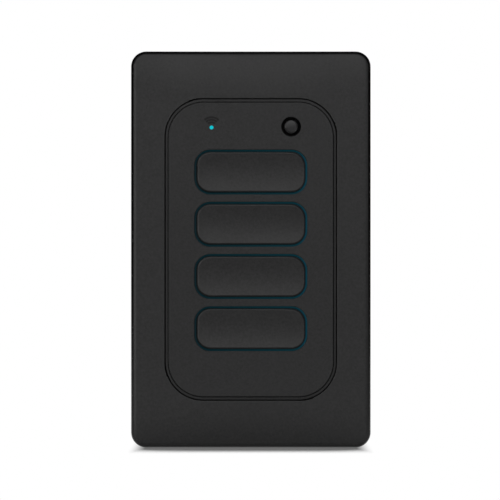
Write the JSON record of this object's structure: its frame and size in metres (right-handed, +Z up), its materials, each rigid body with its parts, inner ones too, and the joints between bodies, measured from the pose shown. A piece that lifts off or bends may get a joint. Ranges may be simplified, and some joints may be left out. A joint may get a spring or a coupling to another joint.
{
  "type": "wireless remote wall switch",
  "caption": "Upright battery-powered wall remote with dished, lit pill keys, a round pairing button and a light, in a plate that clips over a wall bracket.",
  "frame": {"origin": "middle of the wall face, on the wall bracket's rear face", "axes": "+Z up, +Y into the wall, +X to the right as seen from the front; the keys face -Y"},
  "size_m": [0.073, 0.0139, 0.1204],
  "materials": {
    "plate_black": "fine matte moulded texture",
    "fascia_black": "fine matte moulded texture",
    "key_black": "soft satin coat over a fine moulded texture",
    "halo_clear": "smoked translucent moulding, lit teal from its right end",
    "light_cyan": "clear moulded light pipe, lit cyan",
    "pair_black": "satin moulded",
    "housing_black": "spark-eroded moulded texture",
    "bracket_grey": "spark-eroded moulded texture",
    "board_green": "solder resist over woven glass laminate",
    "chip_black": "moulded epoxy",
    "lamp_white": "white lamp body",
    "plunger_white": "moulded",
    "ceramic": "fired ceramic",
    "steel": "nickel-plated",
    "tin": "tinned sheet"
  },
  "bodies": {
    "base": {"wall_bracket": "bracket_grey", "rear_housing": "housing_black", "face_plate": "plate_black", "fascia": "fascia_black", "status_lens": "light_cyan", "circuit_board": "board_green", "tact_switch_1": "chip_black", "tact_switch_2": "chip_black", "tact_switch_3": "chip_black", "tact_switch_4": "chip_black", "tact_switch_5": "chip_black", "halo_led_1": "lamp_white", "halo_led_2": "lamp_white", "halo_led_3": "lamp_white", "halo_led_4": "lamp_white", "status_led": "lamp_white", "radio_chip": "chip_black", "shield_can": "tin", "crystal": "steel", "chip_capacitors": "ceramic", "control_chip": "chip_black", "chip_antenna": "ceramic", "coin_cell": "steel", "positive_contact": "steel", "negative_contact": "steel", "housing_screws": "steel"},
    "key_1": {"halo_skirt_1": "halo_clear", "button_cap_1": "key_black", "tact_plunger_1": "plunger_white"},
    "key_2": {"halo_skirt_2": "halo_clear", "button_cap_2": "key_black", "tact_plunger_2": "plunger_white"},
    "key_3": {"halo_skirt_3": "halo_clear", "button_cap_3": "key_black", "tact_plunger_3": "plunger_white"},
    "key_4": {"halo_skirt_4": "halo_clear", "button_cap_4": "key_black", "tact_plunger_4": "plunger_white"},
    "pair_key": {"pair_button": "pair_black", "tact_plunger_5": "plunger_white"},
    "door": {"battery_door": "housing_black"}
  },
  "joints": [
    {"name": "key_1_press", "type": "slide", "parent": "base", "child": "key_1", "axis": [0, 1, 0], "range_m": [0, 0.0004], "stiffness_N_per_m": 1500, "springref_m": -0.0008},
    {"name": "key_2_press", "type": "slide", "parent": "base", "child": "key_2", "axis": [0, 1, 0], "range_m": [0, 0.0004], "stiffness_N_per_m": 1500, "springref_m": -0.0008},
    {"name": "key_3_press", "type": "slide", "parent": "base", "child": "key_3", "axis": [0, 1, 0], "range_m": [0, 0.0004], "stiffness_N_per_m": 1500, "springref_m": -0.0008},
    {"name": "key_4_press", "type": "slide", "parent": "base", "child": "key_4", "axis": [0, 1, 0], "range_m": [0, 0.0004], "stiffness_N_per_m": 1500, "springref_m": -0.0008},
    {"name": "pair_press", "type": "slide", "parent": "base", "child": "pair_key", "axis": [0, 1, 0], "range_m": [0, 0.0004], "stiffness_N_per_m": 1500, "springref_m": -0.0008},
    {"name": "door_twist", "type": "hinge", "parent": "base", "child": "door", "pos_m": [0, 0, -0.02], "axis": [0, -1, 0], "range_deg": [0, 40]}
  ]
}
